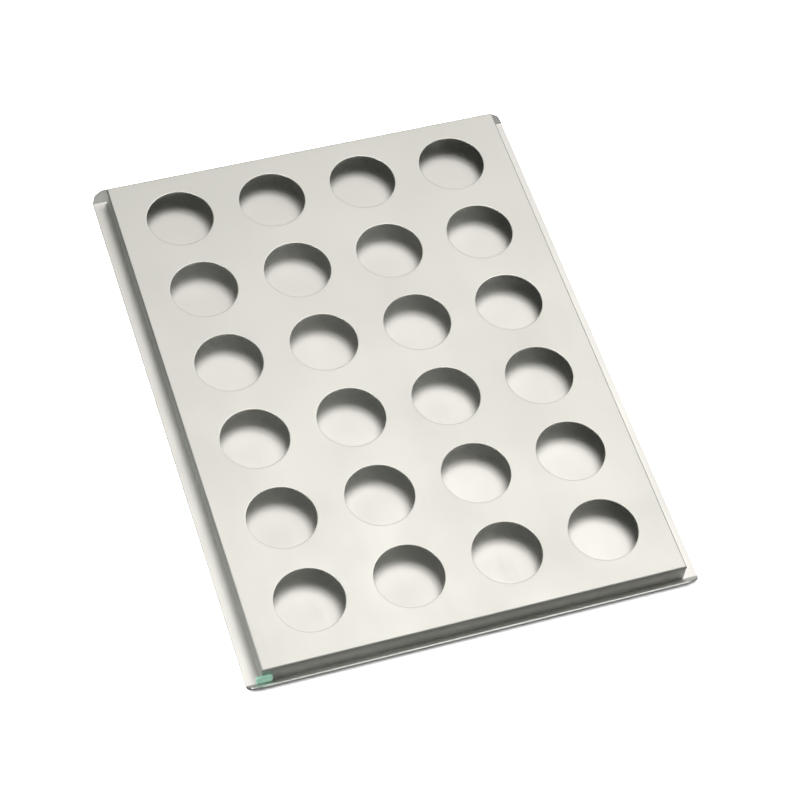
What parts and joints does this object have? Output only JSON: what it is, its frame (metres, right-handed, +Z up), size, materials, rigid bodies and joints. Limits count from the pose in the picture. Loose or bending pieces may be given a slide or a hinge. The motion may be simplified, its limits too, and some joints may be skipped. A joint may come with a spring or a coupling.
{
  "type": "muffin pan",
  "caption": "Baking tray with two turned-up ends and a lift-out perforated insert plate on folded skirts, whose round holes hold baking cups.",
  "frame": {"origin": "centre of the tray's underside, on the surface it stands on", "axes": "+Z up, +Y along the long side from the end with the bumper to the other end, +X across to the right"},
  "size_m": [0.45, 0.6, 0.0238],
  "materials": {
    "tray_metal": "satin, bare sheet",
    "insert_metal": "satin, bare sheet with bright cut edges",
    "bumper_rubber": "soft matt silicone, sea green"
  },
  "bodies": {
    "tray": {"baking_tray": "tray_metal"},
    "insert": {"insert_plate": "insert_metal", "corner_bumper": "bumper_rubber"}
  },
  "joints": [
    {"name": "insert_lift", "type": "slide", "parent": "tray", "child": "insert", "axis": [0, 0, 1], "range_m": [0, 0.1]}
  ]
}
